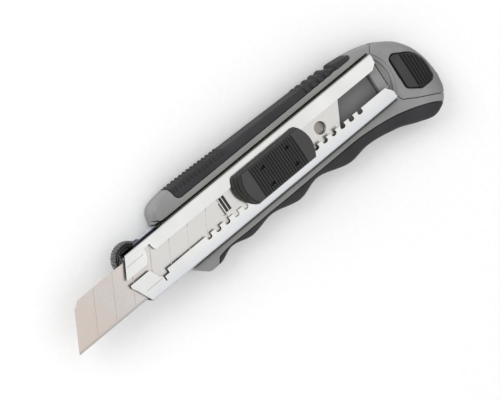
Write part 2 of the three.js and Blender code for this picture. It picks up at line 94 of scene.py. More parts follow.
def both(a, b, r=0.0):
    """Inside both fields, with the edge between them rounded to radius r."""
    if not r:
        return np.maximum(a, b)
    return np.minimum(np.maximum(a, b), -r) + np.hypot(np.maximum(a + r, 0), np.maximum(b + r, 0))


def either(a, b, r=0.0):
    """Inside either field, with the corner between them filled to radius r."""
    return -both(-a, -b, r)


def without(a, b, r=0.0):
    """Inside a and outside b."""
    return both(a, -b, r)


def between(value, low, high):
    """A slab."""
    return np.maximum(low - value, value - high)


def outline_field(points, x, y):
    """Signed distance to a closed outline in the XY plane."""
    px, py = x[:, :, 0], y[:, :, 0]
    px, py = np.broadcast_arrays(px, py)
    nearest = np.full(px.shape, np.inf)
    inside = np.zeros(px.shape, bool)
    for (ax, ay), (bx, by) in zip(points, points[1:] + points[:1]):
        ex, ey = bx - ax, by - ay
        length = ex * ex + ey * ey
        if length == 0:
            continue
        t = np.clip(((px - ax) * ex + (py - ay) * ey) / length, 0, 1)
        nearest = np.minimum(nearest, np.hypot(px - ax - t * ex, py - ay - t * ey))
        if ay != by:
            inside ^= ((ay > py) != (by > py)) & (px < ex * (py - ay) / ey + ax)
    return np.where(inside, -nearest, nearest)[:, :, None]


def disc_field(centre, radius, x, y):
    return np.hypot(x - centre[0], y - centre[1]) - radius


def arc(centre, radius, start, end, steps):
    """Points of an arc, in degrees, both ends included."""
    angles = np.radians(np.linspace(start, end, steps + 1))
    return [(centre[0] + radius * math.cos(a), centre[1] + radius * math.sin(a)) for a in angles]


def smooth_through(points):
    """A curve through points of rising x that doesn't overshoot between them."""
    xs, ys = np.array(points, float).T
    rise = np.diff(ys) / np.diff(xs)
    slopes = np.zeros(len(xs))
    same = rise[:-1] * rise[1:] > 0
    total = np.where(same, rise[:-1] + rise[1:], 1)
    slopes[1:-1] = np.where(same, 2 * rise[:-1] * rise[1:] / total, 0)

    def curve(x):
        i = np.clip(np.searchsorted(xs, x, side="right") - 1, 0, len(xs) - 2)
        width = xs[i + 1] - xs[i]
        t = np.clip((x - xs[i]) / width, 0, 1)
        bend = t * (1 - t) * width * (slopes[i] * (1 - t) - slopes[i + 1] * t)
        return ys[i] + (ys[i + 1] - ys[i]) * (3 - 2 * t) * t * t + bend

    return curve


def fade(value, start, end):
    """0 before start, 1 after end, smooth between."""
    t = np.clip((value - start) / (end - start), 0, 1)
    return t * t * (3 - 2 * t)


# ---- from a field to a mesh ----


def sample(field, at):
    """The field between its grid points; at is in grid units."""
    base = np.clip(np.floor(at).astype(int), 0, np.array(field.shape) - 2)
    part = at - base
    total = np.zeros(len(at))
    for corner in np.ndindex(2, 2, 2):
        weight = np.prod(np.where(corner, part, 1 - part), axis=1)
        total += weight * field[tuple((base + corner).T)]
    return total


def settle(field, at, faces):
    """Evens out the mesh's points and puts them back on the surface after each round."""
    ends = np.vstack([faces[:, [k, (k + 1) % 4]] for k in range(4)])
    count = np.bincount(ends[:, 0], minlength=len(at)) + np.bincount(ends[:, 1], minlength=len(at))
    nudge = 0.5 * np.eye(3)
    for _ in range(SETTLE_ROUNDS):
        total = np.zeros_like(at)
        for axis in range(3):
            total[:, axis] += np.bincount(ends[:, 0], at[ends[:, 1], axis], len(at))
            total[:, axis] += np.bincount(ends[:, 1], at[ends[:, 0], axis], len(at))
        at = 0.5 * at + 0.5 * total / count[:, None]
        slope = np.stack([sample(field, at + n) - sample(field, at - n) for n in nudge], axis=1)
        steep = np.maximum((slope * slope).sum(1), 0.25 * np.median((slope * slope).sum(1)))
        at = at - slope * (sample(field, at) / steep)[:, None]
    return at


def mesh_from_field(field, x, y, z):
    """Points and quads of the surface where the field is zero."""
    field = np.broadcast_to(field, (x.size, y.size, z.size)).astype(float)
    inside = field < 0
    size = np.array(field.shape)
    corners = list(np.ndindex(2, 2, 2))
    stack = [inside[a : size[0] - 1 + a, b : size[1] - 1 + b, c : size[2] - 1 + c] for a, b, c in corners]
    held = sum(s.astype(np.int8) for s in stack)
    cells = np.argwhere((held > 0) & (held < 8))
    number = np.full(size - 1, -1)
    number[tuple(cells.T)] = np.arange(len(cells))
    value = {c: field[tuple((cells + c).T)] for c in corners}
    total, count = np.zeros((len(cells), 3)), np.zeros(len(cells))
    for a in corners:
        for axis in range(3):
            if a[axis]:
                continue
            b = tuple(1 if k == axis else a[k] for k in range(3))
            crossed = (value[a] < 0) != (value[b] < 0)
            gap = np.where(crossed, value[a] - value[b], 1)
            t = np.where(crossed, value[a] / gap, 0)
            point = np.array(a, float) + t[:, None] * (np.array(b) - np.array(a))
            total += point * crossed[:, None]
            count += crossed
    at = cells + total / count[:, None]
    quads = []
    for axis in range(3):
        u, v = (axis + 1) % 3, (axis + 2) % 3
        ahead = np.moveaxis(inside, axis, 0)
        changed = np.moveaxis(ahead[:-1] != ahead[1:], 0, axis)
        edges = np.argwhere(changed)
        limits = size - 1
        keep = (edges[:, u] > 0) & (edges[:, v] > 0) & (edges[:, u] < limits[u]) & (edges[:, v] < limits[v])
        edges = edges[keep]
        ring = []
        for du, dv in ((1, 1), (0, 1), (0, 0), (1, 0)):
            cell = edges.copy()
            cell[:, u] -= du
            cell[:, v] -= dv
            ring.append(number[tuple(cell.T)])
        quad = np.stack(ring, axis=1)
        outward = inside[tuple(edges.T)]
        quads.append(np.where(outward[:, None], quad, quad[:, ::-1]))
    faces = np.vstack(quads)
    at = settle(field, at, faces)
    start, after = (np.array([axis.ravel()[k] for axis in (x, y, z)]) for k in (0, 1))
    return start + at * (after - start), faces


# ---- Blender objects ----


def add_object(name, points, faces):
    """A mesh object from millimetre points."""
    data = bpy.data.meshes.new(name)
    data.from_pydata((np.asarray(points) * MM).tolist(), [], np.asarray(faces).tolist())
    data.validate()
    data.polygons.foreach_set("use_smooth", np.ones(len(data.polygons), bool))
    piece = bpy.data.objects.new(name, data)
    bpy.context.scene.collection.objects.link(piece)
    return piece


def finish_piece(piece, look, body, slot, *nodes):
    """Gives a piece its look and its body, and hides the CAD nodes that it stands for; slot is not used."""
    piece.data.materials.clear()
    piece.data.materials.append(look)
    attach(piece, body)
    if nodes:
        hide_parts(*nodes)
    return piece


def bake(piece):
    """Applies the modifiers."""
    bpy.context.view_layer.update()
    graph = bpy.context.evaluated_depsgraph_get()
    data = bpy.data.meshes.new_from_object(piece.evaluated_get(graph))
    piece.modifiers.clear()
    piece.data = data
    return piece


def even_shading(piece, weight):
    """Large faces set the shading of the edges beside them."""
    weigh = piece.modifiers.new("even shading", "WEIGHTED_NORMAL")
    weigh.weight = weight
    return piece


def moulded(name, field, axes, keep=0.35):
    """A moulded piece: the field's surface, thinned where it is flat."""
    piece = add_object(name, *mesh_from_field(field, *axes))
    thin = piece.modifiers.new("thin", "DECIMATE")
    thin.ratio = keep
    return even_shading(bake(piece), 70)


def prism(name, points, low, high):
    """An upright block with that outline."""
    n = len(points)
    rings = [(px, py, z) for z in (low, high) for px, py in points]
    sides = [(k, (k + 1) % n, n + (k + 1) % n, n + k) for k in range(n)]
    area = sum(a[0] * b[1] - b[0] * a[1] for a, b in zip(points, points[1:] + points[:1]))
    faces = [tuple(range(n))[::-1], tuple(range(n, 2 * n)), *sides]
    if area < 0:
        faces = [f[::-1] for f in faces]
    data = bpy.data.meshes.new(name)
    data.from_pydata((np.array(rings) * MM).tolist(), [], faces)
    piece = bpy.data.objects.new(name, data)
    bpy.context.scene.collection.objects.link(piece)
    return piece


def soften(piece, width, segments=2):
    """Rounded edges and clean shading on a sharp-edged piece."""
    weld = piece.modifiers.new("weld", "WELD")
    weld.merge_threshold = WELD_DISTANCE
    edge = piece.modifiers.new("edge", "BEVEL")
    edge.width = width * MM
    edge.segments = segments
    edge.limit_method = "ANGLE"
    edge.angle_limit = math.radians(35)
    edge.use_clamp_overlap = True
    edge.harden_normals = False
    for polygon in piece.data.polygons:
        polygon.use_smooth = True
    return even_shading(piece, 90)


def cut(piece, cutters, how="DIFFERENCE"):
    """Cuts the pieces out, applies it and drops the cutters."""
    for cutter in cutters:
        step = piece.modifiers.new("cut", "BOOLEAN")
        step.operation = how
        step.solver = "EXACT"
        step.object = cutter
    bake(piece)
    for cutter in cutters:
        bpy.data.objects.remove(cutter)
    return piece


def from_cad(name, node):
    """A fresh piece with the node's shape, its facets joined."""
    piece = bpy.data.objects.new(name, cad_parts[node].data.copy())
    bpy.context.scene.collection.objects.link(piece)
    weld = piece.modifiers.new("weld", "WELD")
    weld.merge_threshold = WELD_DISTANCE
    flat = piece.modifiers.new("flat faces", "DECIMATE")
    flat.decimate_type = "DISSOLVE"
    flat.angle_limit = math.radians(0.5)
    return bake(piece)


def groove_cutter(name, start, end, width, floor, top):
    """A V-shaped bar from start to end in the XY plane, its point at the floor."""
    ax, ay = start
    bx, by = end
    length = math.hypot(bx - ax, by - ay)
    nx, ny = -(by - ay) / length * width / 2, (bx - ax) / length * width / 2
    points = []
    for px, py in (start, end):
        points += [(px, py, floor), (px + nx, py + ny, top), (px - nx, py - ny, top)]
    faces = [(0, 2, 1), (3, 4, 5), (0, 1, 4, 3), (1, 2, 5, 4), (2, 0, 3, 5)]
    data = bpy.data.meshes.new(name)
    data.from_pydata((np.array(points) * MM).tolist(), [], faces)
    cutter = bpy.data.objects.new(name, data)
    bpy.context.scene.collection.objects.link(cutter)
    return cutter


# ---- materials ----


class Look:
    """A principled material under construction, textured in the piece's own frame."""

    def __init__(self, name, metallic=0.0, specular=0.5):
        self.material = bpy.data.materials.new(name)
        self.material.use_nodes = True
        self.tree = self.material.node_tree
        self.shader = self.tree.nodes["Principled BSDF"]
        self.shader.inputs["Metallic"].default_value = metallic
        self.shader.inputs["Specular IOR Level"].default_value = specular
        self.where = self.tree.nodes.new("ShaderNodeTexCoord")

    def link(self, source, target):
        self.tree.links.new(source, target)

    def noise(self, scale, detail, stretch=(1, 1, 1)):
        """Cloudy values round a half; scale is in waves to the metre."""
        mapping = self.tree.nodes.new("ShaderNodeMapping")
        mapping.inputs["Scale"].default_value = stretch
        self.link(self.where.outputs["Object"], mapping.inputs["Vector"])
        texture = self.tree.nodes.new("ShaderNodeTexNoise")
        texture.inputs["Scale"].default_value = scale
        texture.inputs["Detail"].default_value = detail
        self.link(mapping.outputs["Vector"], texture.inputs["Vector"])
        return texture.outputs["Fac"]

    def ramp(self, value, *stops):
        """Colours at positions, read off a 0 to 1 value."""
        ramp = self.tree.nodes.new("ShaderNodeValToRGB")
        elements = ramp.color_ramp.elements
        while len(elements) < len(stops):
            elements.new(0.5)
        for element, (position, colour) in zip(elements, stops):
            element.position = position
            element.color = (*colour, 1)
        self.link(value, ramp.inputs["Fac"])
        return ramp.outputs["Color"]

    def mix(self, factor, a, b):
        """Colour a where the factor is 0 and b where it is 1."""
        node = self.tree.nodes.new("ShaderNodeMix")
        node.data_type = "RGBA"
        self.link(factor, node.inputs["Factor"])
        for value, socket in ((a, node.inputs["A"]), (b, node.inputs["B"])):
            if isinstance(value, tuple):
                socket.default_value = (*value, 1)
            else:
                self.link(value, socket)
        return node.outputs["Result"]

    def spread(self, value, low, high, start=0.3, end=0.7):
        """A 0 to 1 value spread over another range."""
        node = self.tree.nodes.new("ShaderNodeMapRange")
        node.inputs["From Min"].default_value = start
        node.inputs["From Max"].default_value = end
        node.inputs["To Min"].default_value = low
        node.inputs["To Max"].default_value = high
        self.link(value, node.inputs["Value"])
        return node.outputs["Result"]

    def part(self, output, axis):
        """One coordinate of the piece's own place or facing."""
        split = self.tree.nodes.new("ShaderNodeSeparateXYZ")
        self.link(self.where.outputs[output], split.inputs["Vector"])
        return split.outputs[axis]

    def maths(self, operation, *values):
        """One operation on sockets and plain numbers."""
        node = self.tree.nodes.new("ShaderNodeMath")
        node.operation = operation
        for value, socket in zip(values, node.inputs):
            if isinstance(value, (int, float)):
                socket.default_value = value
            else:
                self.link(value, socket)
        return node.outputs["Value"]

    def bump(self, height, distance_mm, strength, under=None):
        """A relief of that depth, over another relief where one is given."""
        node = self.tree.nodes.new("ShaderNodeBump")
        node.inputs["Distance"].default_value = distance_mm * MM
        node.inputs["Strength"].default_value = strength
        self.link(height, node.inputs["Height"])
        if under is not None:
            self.link(under, node.inputs["Normal"])
        return node.outputs["Normal"]

    def finish(self, colour, roughness, normal):
        """Links the last three sockets and gives the material."""
        self.link(colour, self.shader.inputs["Base Color"])
        self.link(roughness, self.shader.inputs["Roughness"])
        self.link(normal, self.shader.inputs["Normal"])
        return self.material


def plastic(name, dark, light, rough, grain_mm, depth_mm, specular, butt=None):
    """Moulded plastic or rubber: spark-eroded grain, cloudiness, uneven gloss, and painted shade on a
    darker butt end.
    """
    look = Look(name, specular=specular)
    cloud = look.noise(90, 4)
    grain = look.noise(1 / (grain_mm * MM), 2)
    scuffs = look.noise(900, 5, (1, 5, 5))
    tone = look.ramp(cloud, (0.3, dark), (0.7, light))
    scuffed = tuple(1.18 * c for c in light)
    tone = look.mix(look.spread(scuffs, 0, 0.35, 0.6, 0.8), tone, scuffed)
    if butt:
        # Painted shade: the butt end is painted darker, as if its rounded rear were in shade.
        tone = look.mix(look.spread(look.part("Object", "X"), 0, 1, 80 * MM, 88 * MM), tone, butt)
    roughness = look.spread(grain, rough - 0.06, rough + 0.06)
    normal = look.bump(grain, depth_mm, 0.7)
    return look.finish(tone, roughness, look.bump(scuffs, depth_mm * 0.6, 0.3, normal))


def ground_steel(name, dark, light, warm, rough, edge=None, lightened_inner=None):
    """Ground or rolled steel: fine scratches along X, a drift of tint, its ground edge, and painted
    light on the steel that the handle covers, lighter and more neutral against the lips' shade."""
    look = Look(name, metallic=1.0)
    lines = look.noise(14, 4, (20, 700, 700))
    drift = look.noise(55, 3)
    tone = look.ramp(lines, (0.3, dark), (0.7, light))
    tone = look.mix(look.spread(drift, 0, 0.75, 0.35, 0.65), tone, warm)
    if lightened_inner:
        # Painted light: inside the handle the steel is painted lighter, and more neutral, to make up for
        # the lips' shade.
        covered = look.spread(look.part("Object", "X"), 0, 1, -84 * MM, -60 * MM)
        tone = look.mix(look.maths("MULTIPLY", covered, 0.8), tone, lightened_inner)
    if edge:
        tone = look.mix(look.spread(look.part("Normal", "Y"), 1, 0, -0.12, -0.06), tone, edge)
    roughness = look.spread(lines, rough - 0.05, rough + 0.08)
    return look.finish(tone, roughness, look.bump(lines, 0.004, 0.35))


def chrome_plate(name):
    """Bright plate: near-mirror flats over side walls, with painted reflection: flats bluer on the belly
    side, walls painted darker, darkest high up at the open nose.
    """
    look = Look(name, metallic=1.0)
    drift = look.noise(60, 3)
    haze = look.noise(420, 4, (0.3, 2, 2))
    flat = look.ramp(drift, (0.3, (0.72, 0.725, 0.715)), (0.7, (0.8, 0.8, 0.785)))
    # Painted reflection: the flats are painted bluer and darker towards the belly side.
    cool = look.spread(look.part("Object", "Y"), 1, 0, -10.8 * MM, -6.0 * MM)
    flat = look.mix(cool, flat, (0.66, 0.68, 0.72))
    # Painted reflection: the side walls are painted darker and warmer than the flats, as if reflecting dark
    # surroundings; at the open nose they are pale low down and near black high up.
    upright = look.maths("ABSOLUTE", look.part("Normal", "Z"))
    wall = look.spread(upright, 1, 0, 0.25, 0.7)
    at_nose = look.spread(look.part("Object", "X"), 1, 0, -53.5 * MM, -51.5 * MM)
    high = look.spread(look.part("Object", "Z"), 0, 1, 12.9 * MM, 13.5 * MM)
    side = look.mix(high, (0.72, 0.76, 0.8), (0.045, 0.045, 0.055))
    side = look.mix(at_nose, (0.66, 0.66, 0.57), side)
    # Painted reflection: the walls' specular tint is dulled as well.
    tint = look.mix(wall, (1, 1, 1), (0.35, 0.35, 0.37))
    look.link(tint, look.shader.inputs["Specular Tint"])
    roughness = look.spread(haze, 0.10, 0.2)
    return look.finish(look.mix(wall, flat, side), roughness, look.bump(haze, 0.003, 0.25))


def ribbed_plastic(name, crest, pitch, span, rise, pale_tone):
    """Moulded black: painted light makes it paler above the heights in rise, painted shade darkest between
    its ribs.

    A rib's crest is at crest, the ribs run over span along X, and pale_tone is the painted-light tone of
    the top.
    """
    look = Look(name, specular=0.42)
    grain = look.noise(5000, 2)
    along = look.part("Object", "X")
    turns = look.maths("MULTIPLY", look.maths("SUBTRACT", along, crest * MM), 2 * math.pi / (pitch * MM))
    groove = look.spread(look.maths("COSINE", turns), 1, 0, -0.2, 0.7)
    ahead = look.spread(along, 0, 1, (span[0] - 0.3) * MM, span[0] * MM)
    behind = look.spread(along, 1, 0, span[1] * MM, (span[1] + 0.3) * MM)
    ribbed = look.maths("MULTIPLY", groove, look.maths("MULTIPLY", ahead, behind))
    paler = (1.3 * pale_tone, 1.3 * pale_tone, 1.25 * pale_tone)
    tone = look.ramp(look.noise(90, 4), (0.3, (pale_tone, pale_tone, pale_tone)), (0.7, paler))
    # Painted shade: near black in the grooves between the ribs.
    tone = look.mix(ribbed, tone, (0.002, 0.002, 0.002))
    # Painted light: paler above the heights in rise; the faces below stay plain black.
    top = look.spread(look.part("Object", "Z"), 0, 1, rise[0] * MM, rise[1] * MM)
    tone = look.mix(top, (0.012, 0.012, 0.012), tone)
    return look.finish(tone, look.spread(grain, 0.34, 0.44), look.bump(grain, 0.008, 0.6))


def knurled_plastic(name, centre, rim):
    """Moulded black, its knurled band dotted paler."""
    look = Look(name, specular=0.4)
    grain = look.noise(4500, 2)
    reach = look.tree.nodes.new("ShaderNodeVectorMath")
    reach.operation = "DISTANCE"
    flatten = look.tree.nodes.new("ShaderNodeVectorMath")
    flatten.operation = "MULTIPLY"
    flatten.inputs[1].default_value = (1, 1, 0)
    look.link(look.where.outputs["Object"], flatten.inputs[0])
    look.link(flatten.outputs["Vector"], reach.inputs[0])
    reach.inputs[1].default_value = (centre[0] * MM, centre[1] * MM, 0)
    band = look.spread(reach.outputs["Value"], 0, 1, (rim - 1.25) * MM, (rim - 0.95) * MM)
    cells = look.tree.nodes.new("ShaderNodeTexVoronoi")
    cells.inputs["Scale"].default_value = 1500
    cells.inputs["Randomness"].default_value = 0.3
    look.link(look.where.outputs["Object"], cells.inputs["Vector"])
    tips = look.spread(cells.outputs["Distance"], 1, 0, 0.25, 0.5)
    pale_tone = look.mix(tips, (0.03, 0.03, 0.03), (0.26, 0.26, 0.265))
    base = look.ramp(grain, (0.3, (0.011, 0.011, 0.011)), (0.7, (0.02, 0.02, 0.02)))
    tone = look.mix(band, base, pale_tone)
    return look.finish(tone, look.spread(grain, 0.36, 0.46), look.bump(grain, 0.01, 0.5))


GREY = plastic("grey_moulding", (0.225, 0.227, 0.225), (0.262, 0.265, 0.26), 0.46, 0.22, 0.008, 0.35)
# The cap's butt end is darkened with painted shade.
CAP = plastic("cap_moulding", (0.225, 0.227, 0.225), (0.262, 0.265, 0.26), 0.46, 0.22, 0.008, 0.35,
              butt=(0.165, 0.167, 0.165))
BLACK = plastic("black_moulding", (0.011, 0.011, 0.0105), (0.021, 0.021, 0.020), 0.42, 0.2, 0.008, 0.42)
RUBBER = plastic("grip_rubber", (0.020, 0.0205, 0.022), (0.031, 0.0315, 0.034), 0.62, 0.3, 0.014, 0.3)
DARK = plastic("dark_moulding", (0.125, 0.128, 0.126), (0.165, 0.17, 0.166), 0.5, 0.25, 0.01, 0.35)
# The channel's plate carries painted reflection.
CHROME = chrome_plate("chrome_plate")
# The blade steel carries painted light where the handle covers it.
BLADE = ground_steel("blade_steel", (0.56, 0.52, 0.5), (0.66, 0.62, 0.6), (0.63, 0.535, 0.485), 0.3,
                     edge=(0.4, 0.39, 0.375), lightened_inner=(0.7, 0.695, 0.68))
DULL = ground_steel("dull_steel", (0.3, 0.285, 0.265), (0.37, 0.35, 0.33), (0.34, 0.31, 0.28), 0.4)
ZINC = ground_steel("zinc_plate", (0.6, 0.63, 0.67), (0.74, 0.77, 0.8), (0.55, 0.6, 0.66), 0.34)
SPRING = ground_steel("spring_steel", (0.12, 0.1, 0.08), (0.22, 0.18, 0.14), (0.17, 0.12, 0.08), 0.3)

# ---- the handle's outer form, shared by the shells, the grips and the cap ----

spine_edge = smooth_through([
    (-52, 11.6), (-50.7, 15.4), (-48.4, 17.7), (-44.8, 18.8), (-36, 19.5), (-10, 18.7), (20, 17.8),
    (45, 16.9), (59, 15.5), (71, 12.7), (79.2, 8.3), (85, 1.6), (87.7, -4.5), (89, -10.6), (89.4, -15),
])
belly_edge = smooth_through([
    (-52, -9.6), (-49.2, -12.4), (-46.2, -16.2), (-43, -18.4), (-38.5, -18.8), (-29.5, -16.2),
    (-19.5, -18.3), (-8, -16.6), (6.8, -19.6), (17.5, -17.1), (35, -21.3), (44, -20.3),
    (60, -22.9), (70, -26.8), (78.2, -29.2), (83.3, -27.7), (86.7, -24.4), (88.7, -20.5), (89.4, -16),
])


def body_outline():
    turn = np.cos(np.linspace(0, math.pi, 111))
    xs = (BODY_FRONT_X + BODY_BACK_X) / 2 - (BODY_BACK_X - BODY_FRONT_X) / 2 * turn
    out = [(x, float(spine_edge(x))) for x in xs]
    home = [(x, float(belly_edge(x))) for x in xs[::-1]]
    return out + home


OUTLINE = body_outline()


def body_field(flat, z, top=(TOP_EDGE, TOP_EDGE * 0.8), bottom=(5.0, 5.0)):
    """The handle: its outline with elliptical edges, given as (inward, down) sizes."""
    up, down = z - (BODY_HEIGHT - top[1]), bottom[1] - z
    upper = up > down
    dz = np.maximum(up, down)
    width, height = np.where(upper, top[0], bottom[0]), np.where(upper, top[1], bottom[1])
    dy = flat + width
    u, v = np.maximum(dy, 0) / width, np.maximum(dz, 0) / height
    away = np.maximum(np.hypot(u, v), 1e-6)
    slope = np.maximum(np.hypot(u / width, v / height) / away, 1e-3)
    curved = (away - 1) / slope
    return np.where((dy <= 0) & (dz <= 0), np.maximum(dy - width, dz - height), curved)


CAP_OUTLINE = [
    (66.4, 8.5), *arc(CAP_PIN, 4.0, 180, 72, 16), (73, 24), (110, 24), (110, -24.2),
    (88.5, -24.2), (74, -17), *arc((70.9, -11.6), 3.2, -105, -180, 8), (66.4, -11.2),
]
BELLY_EDGE = [
    (-37.4, -15.6), (-34, -15), (0, -14.9), (39, -14.7), (50, -15.5), (59.4, -16.9),
    (67, -18.8), (73.6, -21), (79, -23.2), (83.4, -25.6), (88, -30),
]


def belly_outline():
    curve = smooth_through(BELLY_EDGE)
    xs = np.linspace(BELLY_EDGE[0][0], BELLY_EDGE[-1][0], 60)
    return [(-38.8, -60), (-38.6, -17.6), *((x, float(curve(x))) for x in xs), (88, -60)]


SPINE_OUTLINE = [
    (-39.6, 60), (-38.8, 17.4), *arc((-36.2, 16.6), 2.6, 165, 270, 8),
    *arc((57.4, 16.3), 2.3, 270, 350, 8), (57.6, 60),
]


def channel_pocket(x, y, z):
    """Room for the channel, with a rebate along the belly side that shows as a dark line."""
    side = between(y, CHANNEL_LOW[1] - GAP, CHANNEL_HIGH[1] + GAP)
    rebate = both(between(y, CHANNEL_LOW[1] - 1.75, CHANNEL_HIGH[1]), REBATE_FLOOR - z)
    return both(either(both(side, CHANNEL_LOW[2] - GAP - z), rebate), x - CHANNEL_STOP_X)


NOSE_EDGE = 1.4  # the top edge is tighter at the nose
FACET_SLOPE = 0.9


def housing_field(x, y, z):
    """Both shells as one solid, with the pockets for the rubber, the channel and the cap."""
    flat = outline_field(OUTLINE, x, y)
    edge = NOSE_EDGE + (TOP_EDGE - NOSE_EDGE) * fade(x, -47.5, -38)
    facet = (z - BODY_HEIGHT + FACET_SLOPE * (FACET_X - x)) / math.hypot(1, FACET_SLOPE)
    shell = both(body_field(flat, z, (edge, edge * 0.8)), facet, 0.25)
    lining = body_field(flat, z) + GRIP_DEPTH
    for region in (belly_outline(), SPINE_OUTLINE):
        pocket = without(outline_field(region, x, y) - 0.12, lining)
        shell = without(shell, pocket, 0.25)
    seam = outline_field(CAP_OUTLINE, x, y) - SEAM_GAP
    shell = np.where(y > 4, without(shell, seam, 0.12), without(shell, seam, 0.35))
    return without(shell, channel_pocket(x, y, z), 0.15)


SHELL_LOW_Y, SHELL_HIGH_Y, SHELL_BACK_X = -29.5, 20, 88
PARTING_GAP = 0.1
SEAT_BACK_X, SEAT_FLOOR = -47, 6.6  # the front shell is open at the nose, above this floor
KNUCKLE_RADIUS = 3.0
NOSE_SEAM = ((-53.2, 14.0), (-49.3, 11.3))


def front_shell():
    """The shell on the slider's side, with the knuckle that the cap turns on."""
    low = (BODY_FRONT_X, SHELL_LOW_Y, PARTING_Z)
    axes = x, y, z = grid(low, (SHELL_BACK_X, SHELL_HIGH_Y, BODY_HEIGHT), 0.29)
    shell = both(housing_field(x, y, z), PARTING_Z + PARTING_GAP - z, 0.3)
    seat = both(both(x - SEAT_BACK_X, between(y, -9.4, 11.5)), SEAT_FLOOR - z)
    shell = without(shell, seat, 0.2)
    knuckle = both(disc_field(CAP_PIN, KNUCKLE_RADIUS, x, y), between(z, 6.3, 9.9), 0.2)
    piece = moulded("handle_front", either(shell, knuckle, 0.2), axes)
    cut(piece, [groove_cutter("seam", *NOSE_SEAM, 0.6, 8.5, 14.5)])
    return even_shading(piece, 70)


SCREWS = 4
WELL_RADIUS, WELL_DEPTH = 2.95, 2.0


def back_shell():
    """The flat-backed shell, with a well for each screw."""
    low = (BODY_FRONT_X, SHELL_LOW_Y, 0)
    axes = x, y, z = grid(low, (SHELL_BACK_X, SHELL_HIGH_Y, PARTING_Z), 0.34)
    shell = both(housing_field(x, y, z), z - PARTING_Z + PARTING_GAP, 0.3)
    for number in range(1, SCREWS + 1):
        low, high = box_mm(f"housing_screw_{number}")
        centre = (low + high) / 2
        well = both(disc_field(centre, WELL_RADIUS, x, y), z - WELL_DEPTH)
        shell = without(shell, well, 0.25)
    return moulded("handle_back", shell, axes)


def belly_rubber():
    """The rubber skin with the finger grooves."""
    axes = x, y, z = grid((-39, SHELL_LOW_Y, 0), (SHELL_BACK_X, -14, BODY_HEIGHT), 0.3)
    flat = outline_field(OUTLINE, x, y)
    region = outline_field(belly_outline(), x, y) + 0.1
    skin = both(body_field(flat, z) + 0.05, region, 0.3)
    skin = without(skin, outline_field(CAP_OUTLINE, x, y) - GAP)
    return moulded("grip_belly", without(skin, body_field(flat, z) + GRIP_DEPTH - 0.1), axes)


SPINE_RIB_START, SPINE_RIB_PITCH, SPINE_RIB_DEPTH = -38, 2.05, 0.8
WAIST_DEPTH = 0.3
SCALLOP_START, SCALLOP_PITCH, SCALLOPS = 33.9, 3.65, 4
SCALLOP_DEPTH = 1.35


def spine_rubber():
    """Fine ribs by the nose, a smooth waist, four scallops and a smooth tail."""
    axes = x, y, z = grid((-40, 12.8, 0), (60, 20.4, BODY_HEIGHT), 0.24)
    flat = outline_field(OUTLINE, x, y)
    skin = body_field(flat, z, (2.6, 2.4), (5.0, 5.0))
    rim = fade(flat, -2.9, -2.4)
    ribs = fade(x, -38.4, -37.6) * (1 - fade(x, -10.2, -9.4))
    wave = 0.5 + 0.5 * np.cos(2 * math.pi * (x - SPINE_RIB_START) / SPINE_RIB_PITCH)
    waist = fade(x, -10.2, -9.2) * (1 - fade(x, 31, 33))
    skin = skin + rim * (SPINE_RIB_DEPTH * ribs * wave + WAIST_DEPTH * waist)
    # Each scallop swells from a sharp notch, and the tail is one long swell.
    along = np.clip((x - SCALLOP_START) / SCALLOP_PITCH, 0, SCALLOPS)
    swell = np.abs(np.sin(math.pi * along)) ** 0.6
    scalloped = fade(x, SCALLOP_START - 0.4, SCALLOP_START) * (1 - fade(x, 50.2, 51.5))
    skin = skin + fade(flat, -4.3, -2.9) * SCALLOP_DEPTH * scalloped * (1 - swell)
    skin = both(skin, outline_field(SPINE_OUTLINE, x, y) + 0.1, 0.35)
    return moulded("grip_spine", without(skin, body_field(flat, z) + GRIP_DEPTH - 0.1), axes, 0.45)


for piece, look, slot, node in (
    (front_shell(), GREY, "grey_plastic", "front_housing"),
    (back_shell(), GREY, "grey_plastic", "back_housing"),
    (belly_rubber(), RUBBER, "grip_rubber", "belly_grip"),
    (spine_rubber(), RUBBER, "grip_rubber", "spine_grip"),
):
    finish_piece(piece, look, "housing", slot, node)

# ---- end cap and latch button ----


def button_outline():
    """A rounded D, its bowed side towards the butt."""
    return [
        *arc((75.2, 1.9), 2.1, 180, 75, 8), *arc((74.8, -8.9), 11.7, 66, -15, 24),
        *arc((84, -13.2), 2.2, -10, -90, 8), *arc((79.7, -13.2), 2.2, -90, -125, 4),
        *arc((75.1, -10), 2.2, 235, 180, 6),
    ]


ARC_CENTRE = (56, -0.3)  # middle of the stepped arcs in front of the button
ARC_STEPS = ((13.7, 12.6), (15.2, 13.35), (17.4, 13.8))  # radius and height of each
LATCH_SPRING_CENTRE = (79.5, -6.3)
CAP_PIN_SLOT_RADIUS = 4.4
BUTTON_TOP = 15.3
BUTTON_GROOVE_X, BUTTON_RIB_PITCH = 77.9, 1.42


def end_cap():
    """The butt, with its stepped arcs, the button's well and the slot for the knuckle."""
    axes = x, y, z = grid((64.5, -26, 0), (BODY_BACK_X, 15.5, BODY_HEIGHT), 0.25)
    flat = outline_field(OUTLINE, x, y)
    shell = both(body_field(flat, z), outline_field(CAP_OUTLINE, x, y), 0.4)
    for radius, floor in ARC_STEPS:
        shell = without(shell, both(disc_field(ARC_CENTRE, radius, x, y), floor - z), 0.15)
    well = both(outline_field(button_outline(), x, y) - 0.35, 8.0 - z)
    shell = without(shell, well, 0.45)
    pocket = both(disc_field(LATCH_SPRING_CENTRE, 2.8, x, y), 3.5 - z)
    shell = without(shell, pocket)
    slot = both(disc_field(CAP_PIN, CAP_PIN_SLOT_RADIUS, x, y), between(z, 6.0, 10.2))
    return moulded("cap_shell", without(shell, slot, 0.1), axes)


